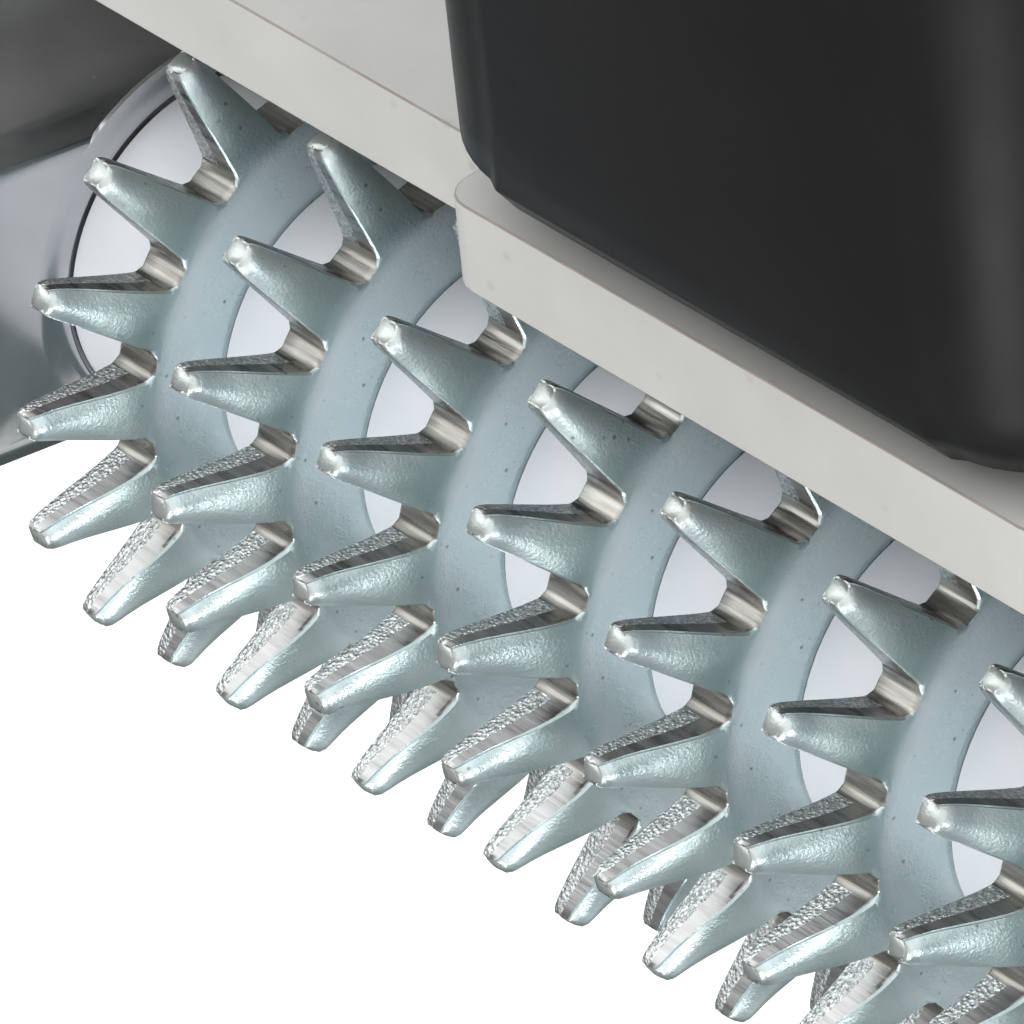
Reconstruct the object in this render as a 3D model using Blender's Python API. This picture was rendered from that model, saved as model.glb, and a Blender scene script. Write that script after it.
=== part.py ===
"""Rotary undercoat rake: a drum of toothed rings in a trough housing, on a straight black grip.

The tool lies on its back. +Z is the way the teeth face, X is the drum's axis and the grip runs
along -Y. The origin is on the flat base, under the middle of the drum.
"""
import math

import bmesh
import bpy
from mathutils import Matrix, Vector

MM = 0.001

# Drum: toothed rings on a sleeve, with spacers between them
RING_COUNT = 10
TEETH = 18
ROOT_R = 7.5 * MM
TIP_R = 10.9 * MM
SHEET = 1.55 * MM
RING_PITCH = 5.87 * MM
SPACER_R = 5.05 * MM
BORE_R = 4.15 * MM
NOTCH_DEG = 6.2
FIRST_TOOTH_DEG = 18.0
RING_SLIP_DEG = (0.0, 0.5, 1.5, 5.0, 1.0, 2.5, 3.0, 1.5, 4.0, 0.5)
TIP_HALF_WIDTH = 0.32 * MM
TIP_THICK = 0.9 * MM
TIP_LEAN = 0.7 * MM
MIDDLE_LEAN = 0.2 * MM

# Axle, sleeve and bushes
AXLE_R = 2.5 * MM
BUSH_BORE_R = 2.75 * MM
BUSH_R = 3.25 * MM
BUSH_LENGTH = 8.0 * MM
SLEEVE_POCKET_R = 3.45 * MM
SLEEVE_BORE_R = 3.0 * MM
SLEEVE_R = 3.9 * MM
WASHER_R = 5.6 * MM
WASHER_THICK = 0.55 * MM
SCREW_SHANK_R = 1.4 * MM
SCREW_HOLE_R = 1.65 * MM
AXLE_HEAD_R = 4.2 * MM
AXLE_HEAD_HEIGHT = 2.4 * MM
GAP = 0.25 * MM

# Housing: a trough with one tall wall, a low lip and low ends
AXIS_Z = 14.6 * MM
HALF_LENGTH = 46.0 * MM
WALL_OUTER_Y = -14.7 * MM
WALL_INNER_Y = -12.0 * MM
LIP_OUTER_Y = 13.8 * MM
LIP_INNER_Y = 12.2 * MM
FLOOR = 3.0 * MM
LIP_Z = 6.4 * MM
LOW_RIM_Z = AXIS_Z + 5.5 * MM
HIGH_RIM_Z = AXIS_Z + 7.7 * MM
STEP_X = 11.5 * MM
STEP_FILLET = 1.0 * MM
END_WALL = 1.6 * MM

# End posts: round bar with a flat milled on the side that faces the drum
POST_R = 6.6 * MM
POST_FLAT_HALF = 4.65 * MM
POST_FLAT_X = 5.5 * RING_PITCH
POST_X = POST_FLAT_X + math.sqrt(POST_R ** 2 - POST_FLAT_HALF ** 2)
POST_LEAN = -0.14
POST_TOP_Z = AXIS_Z + 10.1 * MM
POST_CHAMFER = 1.2 * MM

# Grip, tang and end cap
GRIP_FRONT_Y = -15.0 * MM
FRONT_BOW = 0.5 * MM
BOW_END = 27.0
LOW_CORNER_R = 2.5 * MM
GRIP_BACK_Y = -124.0 * MM
CAP_BACK_Y = -138.0 * MM
TANG_HALF_WIDTH = 7.0 * MM
TANG_LOW_Z = 7.0 * MM
TANG_THICK = 3.0 * MM
TANG_END_Y = -112.0 * MM
FOOT_HALF_WIDTH = 8.5 * MM
FOOT_THICK = 2.0 * MM
FOOT_LOW_Z = 3.0 * MM
FOOT_HIGH_Z = 17.0 * MM
HANG_HOLE_R = 4.0 * MM
HANG_HOLE_Y = -131.5 * MM

# Fasteners, and the holes and recesses that take them
SCREW_SEGMENTS = 20
HEAD_SINK = 0.3 * MM
HEAD_EDGE = 0.4 * MM
AXLE_THREAD_DEPTH = 7.0 * MM
POST_SCREW_R = 2.0 * MM
POST_SCREW_HOLE_R = 2.25 * MM
POST_SCREW_HEAD_R = 4.0 * MM
POST_SCREW_HEAD_Z = 1.4 * MM
POST_SCREW_TIP_Z = 10.0 * MM
POST_RECESS_R = 4.3 * MM
POST_RECESS_Z = 1.7 * MM
POST_THREAD_DEPTH = 8.0 * MM
TANG_SCREW_X = 5.5 * MM
TANG_SCREW_Z = 12.0 * MM
TANG_SCREW_R = 1.45 * MM
TANG_SCREW_HEAD_R = 2.85 * MM
TANG_SCREW_LENGTH = 4.4 * MM
TANG_HOLE_R = 1.75 * MM
TANG_SINK_R = 3.3 * MM
FOOT_HOLE_R = 1.7 * MM
GRIP_SCREW_Y = (-40.0 * MM, -95.0 * MM)
GRIP_SCREW_R = 1.45 * MM
GRIP_SCREW_HEAD_R = 3.3 * MM
GRIP_SCREW_HEAD_Z = 2.1 * MM
GRIP_SCREW_TIP_Z = 15.0 * MM
GRIP_RECESS_R = 3.6 * MM
GRIP_RECESS_Z = 2.4 * MM
GRIP_HOLE_TOP_Z = 16.0 * MM

X_AXIS = Vector((1.0, 0.0, 0.0))
Y_AXIS = Vector((0.0, 1.0, 0.0))
Z_AXIS = Vector((0.0, 0.0, 1.0))
SIDES = ((1, "right"), (-1, "left"))


def clear_scene():
    for item in list(bpy.data.objects):
        bpy.data.objects.remove(item, do_unlink=True)


def make_material(name, colour, roughness, metallic):
    material = bpy.data.materials.new(name)
    material.use_nodes = True
    shader = material.node_tree.nodes["Principled BSDF"]
    shader.inputs["Base Color"].default_value = (*colour, 1.0)
    shader.inputs["Roughness"].default_value = roughness
    shader.inputs["Metallic"].default_value = metallic
    return material


def add_object(name, bm, material, location=(0, 0, 0), parent=None):
    """Put a finished bmesh into the scene as one named, closed object."""
    bmesh.ops.recalc_face_normals(bm, faces=bm.faces)
    mesh = bpy.data.meshes.new(name)
    bm.to_mesh(mesh)
    bm.free()
    mesh.shade_smooth()
    mesh.set_sharp_from_angle(angle=math.radians(35))
    item = bpy.data.objects.new(name, mesh)
    item.location = location
    item.parent = parent
    if material is not None:
        mesh.materials.append(material)
    bpy.context.scene.collection.objects.link(item)
    return item


def cut(target, name, bm, location=(0, 0, 0)):
    """Subtract a shape from an object with a Boolean, and keep the cutter as a hidden guide."""
    cutter = add_object(name, bm, None, location)
    cutter.hide_render = True
    cutter.display_type = "WIRE"
    boolean = target.modifiers.new(name, "BOOLEAN")
    boolean.operation = "DIFFERENCE"
    boolean.solver = "EXACT"
    boolean.object = cutter


def turned(profile, segments, axis=X_AXIS):
    """Spin (distance along the axis, radius) points into a solid; a profile off the axis is closed."""
    side = axis.orthogonal().normalized()
    bm = bmesh.new()
    verts = [bm.verts.new(axis * along + side * radius) for along, radius in profile]
    pairs = list(zip(verts, verts[1:]))
    if profile[0][1] > 0 and profile[-1][1] > 0:
        pairs.append((verts[-1], verts[0]))
    edges = [bm.edges.new(pair) for pair in pairs]
    bmesh.ops.spin(bm, geom=verts + edges, axis=axis, cent=(0, 0, 0), steps=segments, angle=math.tau)
    bmesh.ops.remove_doubles(bm, verts=bm.verts, dist=1e-6)
    return bm


def tube(low, high, inner, outer, segments, chamfer=0.0):
    """A tube along X, with its outer corners chamfered."""
    profile = [(low, inner), (low, outer - chamfer), (low + chamfer, outer)]
    profile += [(high - chamfer, outer), (high, outer - chamfer), (high, inner)]
    if chamfer == 0.0:
        profile = [(low, inner), (low, outer), (high, outer), (high, inner)]
    return turned(profile, segments)


def rod(low, high, radius, segments, axis=X_AXIS):
    return turned([(low, 0), (low, radius), (high, radius), (high, 0)], segments, axis)


def prism(outline, travel):
    """Extrude a flat outline along a vector."""
    bm = bmesh.new()
    face = bm.faces.new([bm.verts.new(point) for point in outline])
    grown = bmesh.ops.extrude_face_region(bm, geom=[face])
    moved = [item for item in grown["geom"] if isinstance(item, bmesh.types.BMVert)]
    bmesh.ops.translate(bm, verts=moved, vec=travel)
    return bm


def block(low, high):
    """A box between two corners."""
    bm = bmesh.new()
    size = Vector(high) - Vector(low)
    centre = (Vector(high) + Vector(low)) / 2
    matrix = Matrix.Translation(centre) @ Matrix.Diagonal((*size, 1.0))
    bmesh.ops.create_cube(bm, size=1.0, matrix=matrix)
    return bm


def arc(centre, radius, start_deg, end_deg, steps):
    """Points along an arc in a plane, both ends included."""
    points = []
    for step in range(steps + 1):
        angle = math.radians(start_deg + (end_deg - start_deg) * step / steps)
        points.append((centre[0] + radius * math.cos(angle), centre[1] + radius * math.sin(angle)))
    return points


def toothed_ring():
    """A stamped ring: a flat band whose outer faces grow into teeth that thin and lean back."""
    tooth_deg = 360.0 / TEETH - NOTCH_DEG
    angles = []
    for tooth in range(TEETH):
        centre = math.radians(tooth * 360.0 / TEETH)
        angles.append(centre - math.radians(tooth_deg / 2))
        angles.append(centre + math.radians(tooth_deg / 2))
    bm = bmesh.new()
    loops = []
    for x, radius in ((-SHEET / 2, BORE_R), (-SHEET / 2, ROOT_R), (SHEET / 2, ROOT_R), (SHEET / 2, BORE_R)):
        loop = [bm.verts.new((x, radius * math.cos(a), radius * math.sin(a))) for a in angles]
        loops.append(loop)
    count = len(angles)
    tooth_faces = []
    for here, there in zip(loops, loops[1:] + loops[:1]):
        for index in range(count):
            follow = (index + 1) % count
            face = bm.faces.new((here[index], here[follow], there[follow], there[index]))
            if here is loops[1] and index % 2 == 0:
                tooth_faces.append((face, angles[index] + math.radians(tooth_deg / 2)))
    bmesh.ops.recalc_face_normals(bm, faces=bm.faces)
    root_half = ROOT_R * math.sin(math.radians(tooth_deg / 2))
    middle_r = (ROOT_R + TIP_R) / 2
    middle_half = (root_half * 0.9 + TIP_HALF_WIDTH * 1.1) / 2
    middle_thick = (SHEET + TIP_THICK) / 2
    for face, angle in tooth_faces:
        out = Vector((0, math.cos(angle), math.sin(angle)))
        across = Vector((0, -math.sin(angle), math.cos(angle)))
        middle = (middle_r, middle_half, middle_thick, MIDDLE_LEAN)
        stages = (middle, (TIP_R, TIP_HALF_WIDTH, TIP_THICK, TIP_LEAN))
        for radius, half, thick, lean in stages:
            grown = bmesh.ops.extrude_discrete_faces(bm, faces=[face])
            face = grown["faces"][0]
            for vert in face.verts:
                side = math.copysign(half, vert.co.dot(across))
                front = -thick / 2 if vert.co.x < lean / 3 else thick / 2
                vert.co = out * radius + across * side + X_AXIS * (lean + front)
    return bm


def make_drum(parent, zinc, core, steel, bronze):
    """Sleeve, bushes, ten toothed rings, the spacers between them and a clamp collar at each end."""
    sleeve_end = POST_FLAT_X - 2 * GAP - WASHER_THICK - 0.2 * MM
    pocket = sleeve_end - BUSH_LENGTH - GAP
    sleeve = [(-sleeve_end, SLEEVE_POCKET_R), (-sleeve_end, SLEEVE_R), (sleeve_end, SLEEVE_R)]
    sleeve += [(sleeve_end, SLEEVE_POCKET_R), (pocket, SLEEVE_POCKET_R), (pocket, SLEEVE_BORE_R)]
    sleeve += [(-pocket, SLEEVE_BORE_R), (-pocket, SLEEVE_POCKET_R)]
    add_object("drum_sleeve", turned(sleeve, 24), steel, parent=parent)
    for side, name in SIDES:
        bush = sorted((side * (sleeve_end - BUSH_LENGTH), side * sleeve_end))
        add_object("drum_bush_" + name, tube(*bush, BUSH_BORE_R, BUSH_R, 24), bronze, parent=parent)
    ring_x = [((RING_COUNT + 1) / 2 - number) * RING_PITCH for number in range(1, RING_COUNT + 1)]
    ring = None
    for index, x in enumerate(ring_x):
        name = "toothed_ring_%02d" % (index + 1)
        if ring is None:
            item = add_object(name, toothed_ring(), zinc, parent=parent)
            ring = item.data
        else:
            item = bpy.data.objects.new(name, ring)
            item.parent = parent
            bpy.context.scene.collection.objects.link(item)
        item.location = (x, 0, 0)
        item.rotation_euler = (math.radians(FIRST_TOOTH_DEG + RING_SLIP_DEG[index]), 0, 0)
    spacer_half = RING_PITCH / 2 - SHEET / 2 - GAP
    for index in range(RING_COUNT - 1):
        middle = (ring_x[index] + ring_x[index + 1]) / 2
        spacer = tube(-spacer_half, spacer_half, BORE_R, SPACER_R, 24)
        add_object("ring_spacer_%02d" % (index + 1), spacer, core, (middle, 0, 0), parent)
    inner = ring_x[0] + SHEET / 2 + GAP
    for side, name in SIDES:
        span = sorted((side * inner, side * sleeve_end))
        add_object("clamp_collar_" + name, tube(*span, BORE_R, SPACER_R, 24), core, parent=parent)


def make_axle(steel, dark):
    """A fixed axle between the posts, its end screws and a thrust washer at each end of the drum."""
    end = POST_X + 1.0 * MM
    hole = AXLE_THREAD_DEPTH
    axle = [(-end + hole, 0), (-end + hole, SCREW_HOLE_R), (-end, SCREW_HOLE_R), (-end, AXLE_R)]
    axle += [(end, AXLE_R), (end, SCREW_HOLE_R), (end - hole, SCREW_HOLE_R), (end - hole, 0)]
    add_object("drum_axle", turned(axle, 24), steel, (0, 0, AXIS_Z))
    seat = POST_X + POST_R - AXLE_HEAD_HEIGHT + GAP
    for side, name in SIDES:
        face = POST_FLAT_X - GAP
        span = sorted((side * (face - WASHER_THICK), side * face))
        washer = tube(*span, AXLE_R + GAP, WASHER_R, 32, 0.15 * MM)
        add_object("thrust_washer_" + name, washer, steel, (0, 0, AXIS_Z))
        tip = end - hole + 0.6 * MM
        socket = 1.4 * MM
        top = seat + AXLE_HEAD_HEIGHT
        dome = 0.8 * MM
        head = [(tip, 0), (tip, SCREW_SHANK_R), (seat, SCREW_SHANK_R), (seat, AXLE_HEAD_R)]
        head += [(top - dome, AXLE_HEAD_R), (top, AXLE_HEAD_R - dome), (top, socket)]
        head += [(top - socket, socket), (top - socket, 0)]
        profile = [(side * along, radius) for along, radius in head]
        add_object("axle_screw_" + name, turned(profile, SCREW_SEGMENTS), dark, (0, 0, AXIS_Z))


def post_outline(side, z, y):
    """The bar's section at one height: a long arc closed by the flat that faces the drum."""
    flat_deg = math.degrees(math.asin(POST_FLAT_HALF / POST_R))
    section = arc((0, 0), POST_R, -180 + flat_deg, 180 - flat_deg, 26)
    return [Vector((side * (POST_X + px), y + py, z)) for px, py in section]


def make_posts(steel):
    bottom = FLOOR + GAP
    foot_y = POST_LEAN * (bottom - AXIS_Z)
    travel = Vector((0, POST_LEAN * (POST_TOP_Z - bottom), POST_TOP_Z - bottom))
    bore_r = AXLE_R + GAP
    head_r = AXLE_HEAD_R + GAP
    inner = POST_FLAT_X - 4 * MM
    outer = POST_X + POST_R + 6 * MM
    seat = POST_X + POST_R - AXLE_HEAD_HEIGHT
    for side, name in SIDES:
        bm = prism(post_outline(side, bottom, foot_y), travel)
        bm.normal_update()
        bmesh.ops.recalc_face_normals(bm, faces=bm.faces)
        rim = [e for e in bm.edges if all(v.co.z > POST_TOP_Z - 1e-5 for v in e.verts)]
        bmesh.ops.bevel(bm, geom=rim, offset=POST_CHAMFER, segments=3, profile=0.5, affect="EDGES")
        post = add_object("end_post_" + name, bm, steel)
        bore = [(side * inner, 0), (side * inner, bore_r), (side * seat, bore_r)]
        bore += [(side * seat, head_r), (side * outer, head_r), (side * outer, 0)]
        cut(post, "axle_bore_cutter_" + name, turned(bore, 24), (0, 0, AXIS_Z))
        thread = rod(-5 * MM, POST_THREAD_DEPTH, POST_SCREW_HOLE_R, 16, Z_AXIS)
        cut(post, "post_thread_cutter_" + name, thread, (side * POST_X, foot_y, bottom))


def step_cutter(side):
    """The piece cut off the tall wall outside its raised middle, with filleted corners."""
    past = HALF_LENGTH + 5 * MM
    top = HIGH_RIM_Z + 5 * MM
    outline = [(past, LOW_RIM_Z)]
    outline += [(STEP_X + STEP_FILLET, LOW_RIM_Z)]
    outline += arc((STEP_X + STEP_FILLET, LOW_RIM_Z + STEP_FILLET), STEP_FILLET, 270, 180, 5)[1:]
    outline += arc((STEP_X - STEP_FILLET, HIGH_RIM_Z - STEP_FILLET), STEP_FILLET, 0, 90, 5)
    outline += [(STEP_X - STEP_FILLET, top), (past, top)]
    points = [Vector((side * x, WALL_OUTER_Y - 5 * MM, z)) for x, z in outline]
    return prism(points, Vector((0, 12 * MM, 0)))


def make_housing(cast):
    profile = [(WALL_OUTER_Y, 0), (LIP_OUTER_Y, 0), (LIP_OUTER_Y, LIP_Z), (WALL_INNER_Y, LIP_Z)]
    profile += [(WALL_INNER_Y, HIGH_RIM_Z), (WALL_OUTER_Y, HIGH_RIM_Z)]
    points = [Vector((-HALF_LENGTH, y, z)) for y, z in profile]
    housing = add_object("head_housing", prism(points, Vector((2 * HALF_LENGTH, 0, 0))), cast)
    for side, name in SIDES:
        cut(housing, "rim_step_cutter_" + name, step_cutter(side))
    inside = HALF_LENGTH - END_WALL
    trough = block((-inside, WALL_INNER_Y, FLOOR), (inside, LIP_INNER_Y, HIGH_RIM_Z))
    cut(housing, "trough_cutter", trough)
    foot_y = POST_LEAN * (FLOOR + GAP - AXIS_Z)
    for side, name in SIDES:
        hole = stepped_hole(POST_RECESS_R, POST_RECESS_Z, POST_SCREW_HOLE_R, FLOOR + 1 * MM)
        cut(housing, "post_screw_hole_cutter_" + name, hole, (side * POST_X, foot_y, 0))
        sink = [(-3.5 * MM, 0), (-3.5 * MM, TANG_HOLE_R), (-1.4 * MM, TANG_HOLE_R)]
        sink += [(0.2 * MM, TANG_SINK_R), (0.2 * MM, 0)]
        place = (side * TANG_SCREW_X, WALL_INNER_Y, TANG_SCREW_Z)
        cut(housing, "tang_screw_hole_cutter_" + name, turned(sink, SCREW_SEGMENTS, Y_AXIS), place)


def stepped_hole(recess_r, recess, hole_r, end):
    """The cutter for a screw hole that starts as a recess in the base face."""
    profile = [(-1 * MM, 0), (-1 * MM, recess_r), (recess, recess_r), (recess, hole_r)]
    profile += [(end, hole_r), (end, 0)]
    return turned(profile, SCREW_SEGMENTS, Z_AXIS)


def headed_screw(head_r, head_z, shank_r, tip_z):
    """A low round-headed screw along +Z, its head just inside the base face."""
    profile = [(HEAD_SINK, 0), (HEAD_SINK, head_r - HEAD_EDGE), (HEAD_SINK + HEAD_EDGE, head_r)]
    profile += [(head_z, head_r), (head_z, shank_r), (tip_z, shank_r), (tip_z, 0)]
    return turned(profile, SCREW_SEGMENTS, Z_AXIS)


def make_post_screws(dark):
    foot_y = POST_LEAN * (FLOOR + GAP - AXIS_Z)
    for side, name in SIDES:
        screw = headed_screw(POST_SCREW_HEAD_R, POST_SCREW_HEAD_Z, POST_SCREW_R, POST_SCREW_TIP_Z)
        add_object("post_screw_" + name, screw, dark, (side * POST_X, foot_y, 0))


def make_tang_screws(dark):
    """Countersunk screws from inside the trough, through the tall wall into the foot plate."""
    tip = -TANG_SCREW_LENGTH
    for side, name in SIDES:
        profile = [(tip, 0), (tip, TANG_SCREW_R), (-1.55 * MM, TANG_SCREW_R)]
        profile += [(-0.15 * MM, TANG_SCREW_HEAD_R), (-0.15 * MM, 0)]
        place = (side * TANG_SCREW_X, WALL_INNER_Y, TANG_SCREW_Z)
        add_object("tang_screw_" + name, turned(profile, SCREW_SEGMENTS, Y_AXIS), dark, place)


def grip_section(y, half_width, top, round_low, round_high, bow=0.0):
    """A rounded section on the flat base; bow sets its sides further back than its middle."""
    outline = arc((half_width - round_low, round_low), round_low, -90, 0, 4)
    outline += arc((half_width - round_high, top - round_high), round_high, 0, 90, 7)
    outline += arc((round_high - half_width, top - round_high), round_high, 90, 180, 7)
    outline += arc((round_low - half_width, round_low), round_low, 180, 270, 4)
    return [Vector((x, y - bow * (x / half_width) ** 2, z)) for x, z in outline]


def loft(sections):
    bm = bmesh.new()
    loops = [[bm.verts.new(point) for point in section] for section in sections]
    count = len(loops[0])
    for here, there in zip(loops, loops[1:]):
        for index in range(count):
            follow = (index + 1) % count
            bm.faces.new((here[index], here[follow], there[follow], there[index]))
    bm.faces.new(loops[0])
    bm.faces.new(loops[-1])
    bmesh.ops.triangulate(bm, faces=[f for f in bm.faces if len(f.verts) > 4])
    return bm


def grip_stations():
    """(distance along the grip, half width, top height, top corner radius) in millimetres."""
    front = ((15.0, 10.6, 21.5, 2.6), (15.4, 11.6, 22.5, 3.4), (16.4, 12.3, 23.2, 4.2))
    neck = ((18.5, 12.6, 23.4, 5.0), (26.0, 12.6, 23.4, 5.2), (36.0, 12.4, 23.0, 7.0))
    palm = ((48.0, 12.2, 22.4, 8.0), (62.0, 13.2, 22.8, 8.5), (78.0, 14.6, 24.0, 8.5))
    back = ((94.0, 14.8, 24.1, 8.5), (108.0, 13.8, 23.1, 8.5), (124.0, 12.6, 21.6, 8.5))
    return front + neck + palm + back


def make_grip(black):
    """The moulded grip, with a slot for the tang, a seat for its foot and two screw holes."""
    sections = []
    for along, half, top, corner in grip_stations():
        bow = FRONT_BOW if along < BOW_END else 0.0
        sections.append(grip_section(-along * MM, half * MM, top * MM, LOW_CORNER_R, corner * MM, bow))
    grip = add_object("grip", loft(sections), black)
    tang_high = TANG_LOW_Z + TANG_THICK
    pocket = block((-TANG_HALF_WIDTH - GAP, GRIP_BACK_Y - 5 * MM, TANG_LOW_Z - GAP),
                   (TANG_HALF_WIDTH + GAP, GRIP_FRONT_Y + 5 * MM, tang_high + GAP))
    cut(grip, "tang_pocket_cutter", pocket)
    foot = block((-FOOT_HALF_WIDTH - GAP, GRIP_FRONT_Y - FOOT_THICK - GAP, FOOT_LOW_Z - GAP),
                 (FOOT_HALF_WIDTH + GAP, GRIP_FRONT_Y + 5 * MM, FOOT_HIGH_Z + GAP))
    cut(grip, "tang_foot_cutter", foot)
    for number, y in enumerate(GRIP_SCREW_Y, 1):
        hole = stepped_hole(GRIP_RECESS_R, GRIP_RECESS_Z, TANG_HOLE_R, GRIP_HOLE_TOP_Z)
        cut(grip, "grip_screw_hole_cutter_%d" % number, hole, (0, y, 0))


def make_tang(steel):
    """A flat steel tang inside the grip, and the foot plate that bolts it to the tall wall."""
    front = GRIP_FRONT_Y - FOOT_THICK
    outline = [(-TANG_HALF_WIDTH, TANG_END_Y), (TANG_HALF_WIDTH, TANG_END_Y)]
    outline += [(TANG_HALF_WIDTH, front), (-TANG_HALF_WIDTH, front)]
    blade = prism([Vector((x, y, TANG_LOW_Z)) for x, y in outline], Vector((0, 0, TANG_THICK)))
    tang = add_object("handle_tang", blade, steel)
    for number, y in enumerate(GRIP_SCREW_Y, 1):
        hole = rod(0, TANG_LOW_Z + 2 * TANG_THICK, TANG_HOLE_R, SCREW_SEGMENTS, Z_AXIS)
        cut(tang, "tang_hole_cutter_%d" % number, hole, (0, y, 0))
    plate = block((-FOOT_HALF_WIDTH, front + GAP, FOOT_LOW_Z), (FOOT_HALF_WIDTH, GRIP_FRONT_Y, FOOT_HIGH_Z))
    foot_plate = add_object("tang_foot_plate", plate, steel)
    for side, name in SIDES:
        hole = rod(2 * GRIP_FRONT_Y, 0, FOOT_HOLE_R, SCREW_SEGMENTS, Y_AXIS)
        cut(foot_plate, "foot_hole_cutter_" + name, hole, (side * TANG_SCREW_X, 0, TANG_SCREW_Z))


def make_grip_screws(dark):
    for name, y in zip(("front", "back"), GRIP_SCREW_Y):
        screw = headed_screw(GRIP_SCREW_HEAD_R, GRIP_SCREW_HEAD_Z, GRIP_SCREW_R, GRIP_SCREW_TIP_Z)
        add_object("grip_screw_" + name, screw, dark, (0, y, 0))


def make_end_cap(black):
    start = GRIP_BACK_Y - GAP
    length = start - CAP_BACK_Y
    sections = []
    stations = ((0.0, 12.6, 21.6), (0.3, 12.2, 21.0), (0.6, 11.1, 19.6), (0.85, 9.2, 17.6), (1.0, 7.4, 15.6))
    for part, half, top in stations:
        sections.append(grip_section(start - part * length, half * MM, top * MM, 3.2 * MM, 6.0 * MM))
    cap = add_object("grip_end_cap", loft(sections), black)
    hole = rod(-5 * MM, 35 * MM, HANG_HOLE_R, 24, Z_AXIS)
    cut(cap, "hang_hole_cutter", hole, (0, HANG_HOLE_Y, 0))


def main():
    clear_scene()
    zinc = make_material("zinc_plate", (0.47, 0.55, 0.57), 0.28, 1.0)
    core = make_material("pale_core", (0.63, 0.66, 0.68), 0.45, 0.0)
    steel = make_material("polished_steel", (0.55, 0.55, 0.56), 0.2, 1.0)
    dark = make_material("dark_screws", (0.12, 0.12, 0.13), 0.35, 1.0)
    bronze = make_material("bush_bronze", (0.5, 0.32, 0.14), 0.4, 1.0)
    cast = make_material("pale_housing", (0.62, 0.61, 0.6), 0.5, 0.0)
    black = make_material("black_grip", (0.012, 0.011, 0.012), 0.45, 0.0)
    cap_black = make_material("black_cap", (0.016, 0.016, 0.017), 0.55, 0.0)
    pivot = bpy.data.objects.new("drum_pivot", None)
    pivot.location = (0, 0, AXIS_Z)
    bpy.context.scene.collection.objects.link(pivot)
    make_drum(pivot, zinc, core, steel, bronze)
    make_axle(steel, dark)
    make_posts(steel)
    make_housing(cast)
    make_post_screws(dark)
    make_tang_screws(dark)
    make_grip(black)
    make_tang(steel)
    make_grip_screws(dark)
    make_end_cap(cap_black)
    bpy.context.view_layer.update()


main()
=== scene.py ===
# Looks of a rotary undercoat rake: toothed zinc-plated rings, steel posts, pale housing and black grip.
import math
import random

import bmesh
import bpy
from mathutils import Matrix, Vector


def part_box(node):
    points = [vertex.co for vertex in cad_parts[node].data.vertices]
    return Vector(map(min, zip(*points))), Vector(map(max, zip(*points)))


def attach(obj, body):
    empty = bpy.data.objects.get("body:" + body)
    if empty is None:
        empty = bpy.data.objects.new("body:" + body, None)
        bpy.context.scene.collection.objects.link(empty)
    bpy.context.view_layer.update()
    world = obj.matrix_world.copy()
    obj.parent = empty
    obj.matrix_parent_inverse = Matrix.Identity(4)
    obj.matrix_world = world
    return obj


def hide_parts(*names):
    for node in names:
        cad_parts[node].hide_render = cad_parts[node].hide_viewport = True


MM = 0.001
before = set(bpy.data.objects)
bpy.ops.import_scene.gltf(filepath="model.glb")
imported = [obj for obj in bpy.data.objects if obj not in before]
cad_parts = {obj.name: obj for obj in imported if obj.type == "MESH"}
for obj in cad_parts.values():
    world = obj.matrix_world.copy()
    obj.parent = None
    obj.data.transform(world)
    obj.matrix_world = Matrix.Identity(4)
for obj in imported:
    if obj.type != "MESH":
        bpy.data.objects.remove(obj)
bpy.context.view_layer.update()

# Sizes read from the frame
SPACER_LOW, SPACER_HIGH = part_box("ring_spacer_01")
AXIS_Z = (SPACER_LOW.z + SPACER_HIGH.z) / 2
SPACER_R = (SPACER_HIGH.z - SPACER_LOW.z) / 2
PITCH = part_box("toothed_ring_01")[0].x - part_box("toothed_ring_02")[0].x

# Sizes of the drum
RING_COUNT = 10
TEETH = 18
TIP_R = 10.9 * MM
ROOT_R = 7.5 * MM
BORE_R = 4.15 * MM
SHEET = 1.55 * MM
NOTCH_DEG = 6.2             # a notch's width at the root, as an angle
FIRST_TOOTH_DEG = 18.0
RING_SLIP_DEG = (0.0, 0.5, 1.5, 5.0, 1.0, 2.5, 3.0, 1.5, 4.0, 0.5)
FLAT_X = (RING_COUNT + 1) / 2 * PITCH       # the flat on a post that faces the drum's end
SIDES = ((1, "right"), (-1, "left"))

# Camera: its axes in the world, and where it stands from the drum's +X end
CAMERA_RIGHT = Vector((-0.6493, 0.0836, -0.7560))
CAMERA_UP = Vector((0.3909, -0.8161, -0.4261))
CAMERA_BACK = Vector((-0.6524, -0.5722, 0.4972))
CAMERA_OFFSET = Vector((-229.95, -188.03, 166.35)) * MM
CAMERA_LENS = 431.9
CAMERA_SENSOR = 36.0
CAMERA_CLIP = (0.01, 20.0)

# Area lights, all aimed at the drum: name, place in m, size in m, power in W
LAMPS = (("key", (-0.25, 0.45, 0.75), (0.4, 0.25), 3.0),
         ("left_strip", (-0.7, 0.25, 0.3), (0.12, 0.35), 1.6),
         ("fill", (0.5, -0.45, 0.5), (0.5, 0.4), 0.8))

# The world from the horizon up, and what the camera itself sees of it
SKY_STOPS = ((0.0, (0.16, 0.19, 0.19)), (0.3, (0.26, 0.29, 0.3)), (0.75, (0.5, 0.5, 0.5)))
BACKDROP = (0.9, 0.9, 0.9, 1)
# Broad soft lights in the world: direction, cosine where each starts and is full, brightness
SOFT_GLOWS = (((-0.55, -0.72, 0.42), 0.25, 0.9, 1.35),
              ((0.62, -0.72, 0.25), 0.6, 0.92, 1.3),
              ((-0.65, 0.50, -0.55), 0.68, 0.95, 0.75))

FLOOR_SIZE = 0.7
FLOOR_GREY = 0.93
FLOOR_ROUGHNESS = 0.8
FLOOR_GLOW = 0.12

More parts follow.
